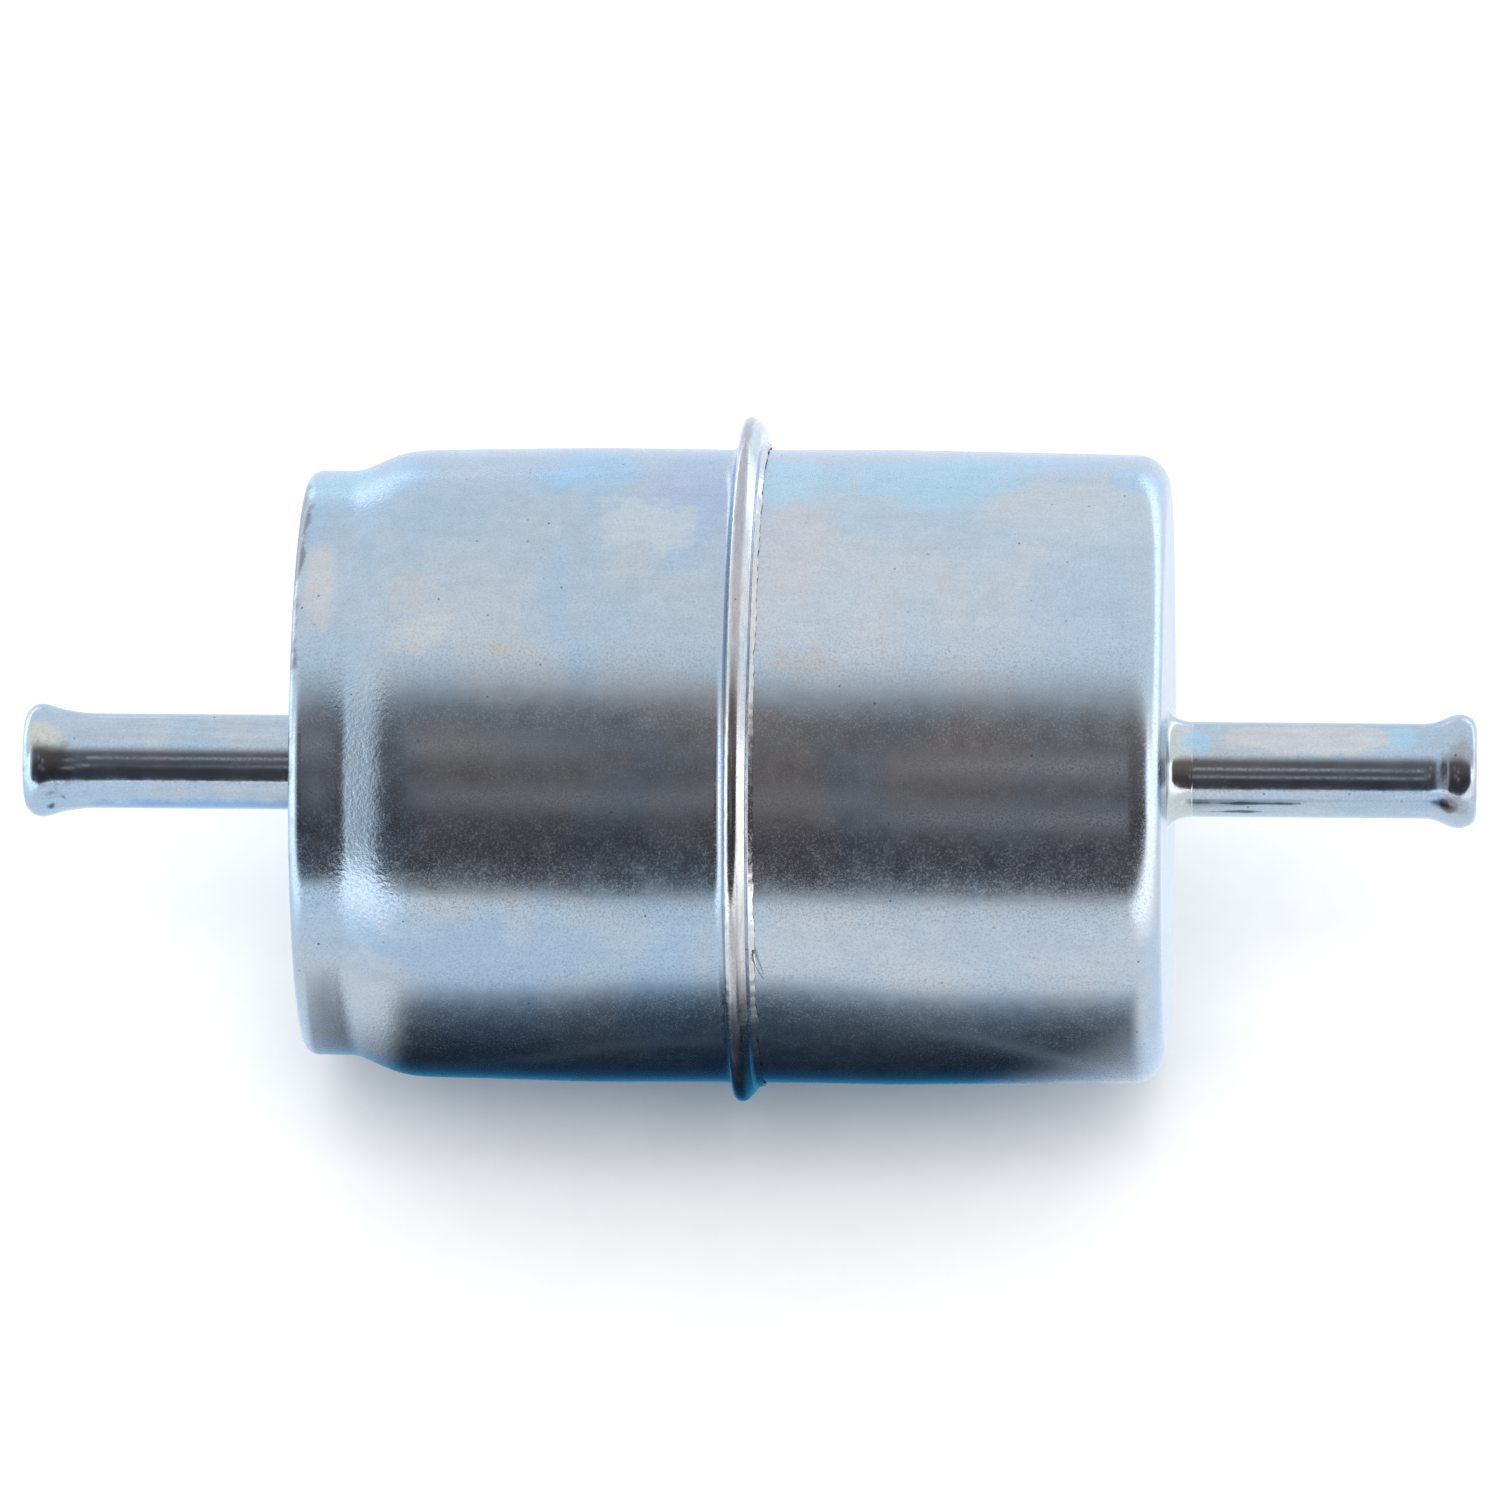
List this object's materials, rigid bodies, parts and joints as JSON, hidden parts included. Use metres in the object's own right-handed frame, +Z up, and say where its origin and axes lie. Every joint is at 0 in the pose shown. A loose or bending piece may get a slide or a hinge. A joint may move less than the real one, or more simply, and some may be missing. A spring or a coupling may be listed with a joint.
{
  "type": "in-line fuel filter",
  "caption": "Sealed zinc-plated steel can filter with a rolled middle seam, a necked outlet end and a beaded hose spigot at each end.",
  "frame": {"origin": "on the can's axis, half way along the overall length between the two spigots' free ends", "axes": "+X along the can's axis from the outlet spigot (necked end) to the inlet spigot, +Z up with the filter lying on its side"},
  "size_m": [0.0968, 0.0456, 0.0456],
  "materials": {
    "zinc_plated_can": "satin",
    "zinc_plated_tube": "satin",
    "plated_braze": "satin",
    "sealing_compound": "matte",
    "filter_paper": "matte",
    "clip_steel": "satin",
    "perforated_steel": "satin",
    "tinned_cap": "satin",
    "plastisol": "satin",
    "nitrile_rubber": "matte",
    "spring_steel": "satin"
  },
  "bodies": {
    "root": {"outlet_shell": "zinc_plated_can", "inlet_shell": "zinc_plated_can", "outlet_spigot": "zinc_plated_tube", "inlet_spigot": "zinc_plated_tube", "outlet_braze": "plated_braze", "inlet_braze": "plated_braze", "seam_sealant": "sealing_compound", "filter_paper": "filter_paper", "paper_seam_clip": "clip_steel", "centre_tube": "perforated_steel", "outlet_end_cap": "tinned_cap", "inlet_end_cap": "tinned_cap", "outlet_potting": "plastisol", "inlet_potting": "plastisol", "seat_gasket": "nitrile_rubber", "element_spring": "spring_steel"}
  },
  "joints": []
}
